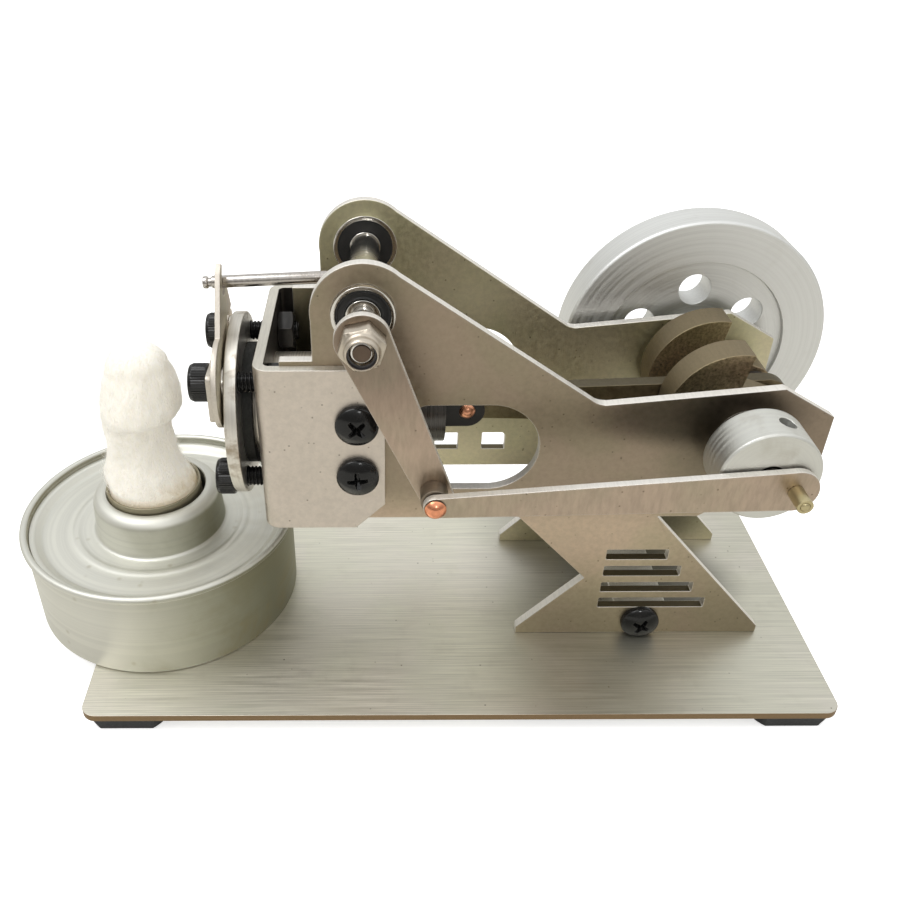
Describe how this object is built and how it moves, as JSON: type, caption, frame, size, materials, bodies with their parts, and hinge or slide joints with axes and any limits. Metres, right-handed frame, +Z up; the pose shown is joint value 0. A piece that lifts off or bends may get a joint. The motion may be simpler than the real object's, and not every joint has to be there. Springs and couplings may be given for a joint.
{
  "type": "stirling engine",
  "caption": "Desk-top flame-driven hot-air engine on a steel base: horizontal cylinder, rocker and fork valve, crank with flywheel, and a round spirit lamp with a cotton wick.",
  "frame": {"origin": "on the table under the middle of the engine's bounding box", "axes": "+X from the lamp towards the flywheel end, +Y from the valve gear's side towards the flywheel's side, +Z up"},
  "size_m": [0.1729, 0.075, 0.0896],
  "materials": {
    "base_steel": "long grain along the base",
    "brushed_steel": "fine matt grain with a warm tint",
    "turned_steel": "turned",
    "bright_steel": "polished",
    "black_steel": "black oxide",
    "aluminium": "turned and brushed",
    "olive_bronze": "dull with brushed edges",
    "aged_brass": "worn",
    "copper": "bright domed rivet",
    "dull_tin": "dull with stains",
    "black_rubber": "matt",
    "black_gasket": "matt",
    "cotton": "loose fibres"
  },
  "bodies": {
    "frame": {"base_plate": "base_steel", "rubber_feet": "black_rubber", "front_plate": "brushed_steel", "rear_plate": "brushed_steel", "leg_block": "aluminium", "leg_screws": "black_steel", "base_screws": "black_steel", "cylinder_bracket": "brushed_steel", "bracket_screws": "black_steel", "bracket_nuts": "black_steel", "cylinder": "turned_steel", "heat_washer": "black_gasket", "head_flange": "turned_steel", "lower_head_screws": "black_steel", "upper_head_screws": "black_steel", "head_nuts": "black_steel", "standoffs": "bright_steel", "wave_washer": "bright_steel", "keeper_plate": "brushed_steel", "rocker_outer_rings": "bright_steel", "rocker_seals": "black_rubber", "crank_outer_rings": "bright_steel", "crank_seals": "black_rubber"},
    "crank": {"crank_disc": "aluminium", "disc_set_screw": "black_steel", "disc_spacer": "bright_steel", "front_crankshaft": "bright_steel", "rear_crankshaft": "bright_steel", "front_counterweight": "olive_bronze", "rear_counterweight": "olive_bronze", "crank_pin_ends": "black_steel", "crank_collars": "bright_steel", "crank_inner_rings": "bright_steel", "wheel_washer": "bright_steel", "flywheel": "aluminium", "wheel_set_screw": "black_steel", "drive_seat_pin": "bright_steel"},
    "rocker": {"valve_rod": "bright_steel", "rocker_shaft": "bright_steel", "rocker_sleeve": "bright_steel", "rocker_inner_rings": "bright_steel", "rocker_lever": "brushed_steel", "rocker_nuts": "bright_steel", "rocker_jam_nut": "bright_steel", "link_rivet": "copper", "rivet_spacer": "bright_steel"},
    "link": {"valve_link": "brushed_steel", "drive_pin": "bright_steel", "drive_sleeve": "aged_brass"},
    "valve": {"valve_lever": "brushed_steel"},
    "piston": {"piston": "black_steel", "piston_clevis": "black_steel", "wrist_rivet": "copper"},
    "conrod": {"connecting_rod": "black_steel", "crank_pin": "black_steel", "crank_pin_sleeve": "black_steel"},
    "lamp": {"lamp_tin": "dull_tin", "lamp_lid": "dull_tin", "wick_tube": "dull_tin", "wick": "cotton"}
  },
  "joints": [
    {"name": "crank_spin", "type": "hinge", "parent": "frame", "child": "crank", "pos_m": [0.05855, 0.0011, 0.0555], "axis": [0, 1, 0], "continuous": true},
    {"name": "piston_slide", "type": "slide", "parent": "frame", "child": "piston", "axis": [1, 0, 0], "range_m": [-0.0178, 0.00015]},
    {"name": "conrod_swing", "type": "hinge", "parent": "piston", "child": "conrod", "pos_m": [0.00842, 0.0011, 0.0535], "axis": [0, 1, 0], "range_deg": [-10.3, 7.2]},
    {"name": "rocker_swing", "type": "hinge", "parent": "frame", "child": "rocker", "pos_m": [-0.01155, 0.0011, 0.0805], "axis": [0, 1, 0], "range_deg": [-0.7, 14.9]},
    {"name": "link_swing", "type": "hinge", "parent": "rocker", "child": "link", "pos_m": [0.00081, -0.02985, 0.05066], "axis": [0, 1, 0], "range_deg": [-18.7, 0.4]},
    {"name": "valve_swing", "type": "hinge", "parent": "frame", "child": "valve", "pos_m": [-0.03805, -0.00951, 0.06411], "axis": [1, 0, 0], "range_deg": [-0.6, 9.8]},
    {"name": "lamp_slide", "type": "slide", "parent": "frame", "child": "lamp", "axis": [1, 0, 0], "range_m": [-0.01, 0.003]}
  ],
  "couplings": [
    {"joint": "rocker_swing", "follows": "piston_slide", "rad_per_m": -14.46},
    {"joint": "link_swing", "follows": "piston_slide", "rad_per_m": 17.8},
    {"joint": "valve_swing", "follows": "piston_slide", "rad_per_m": -9.44}
  ]
}
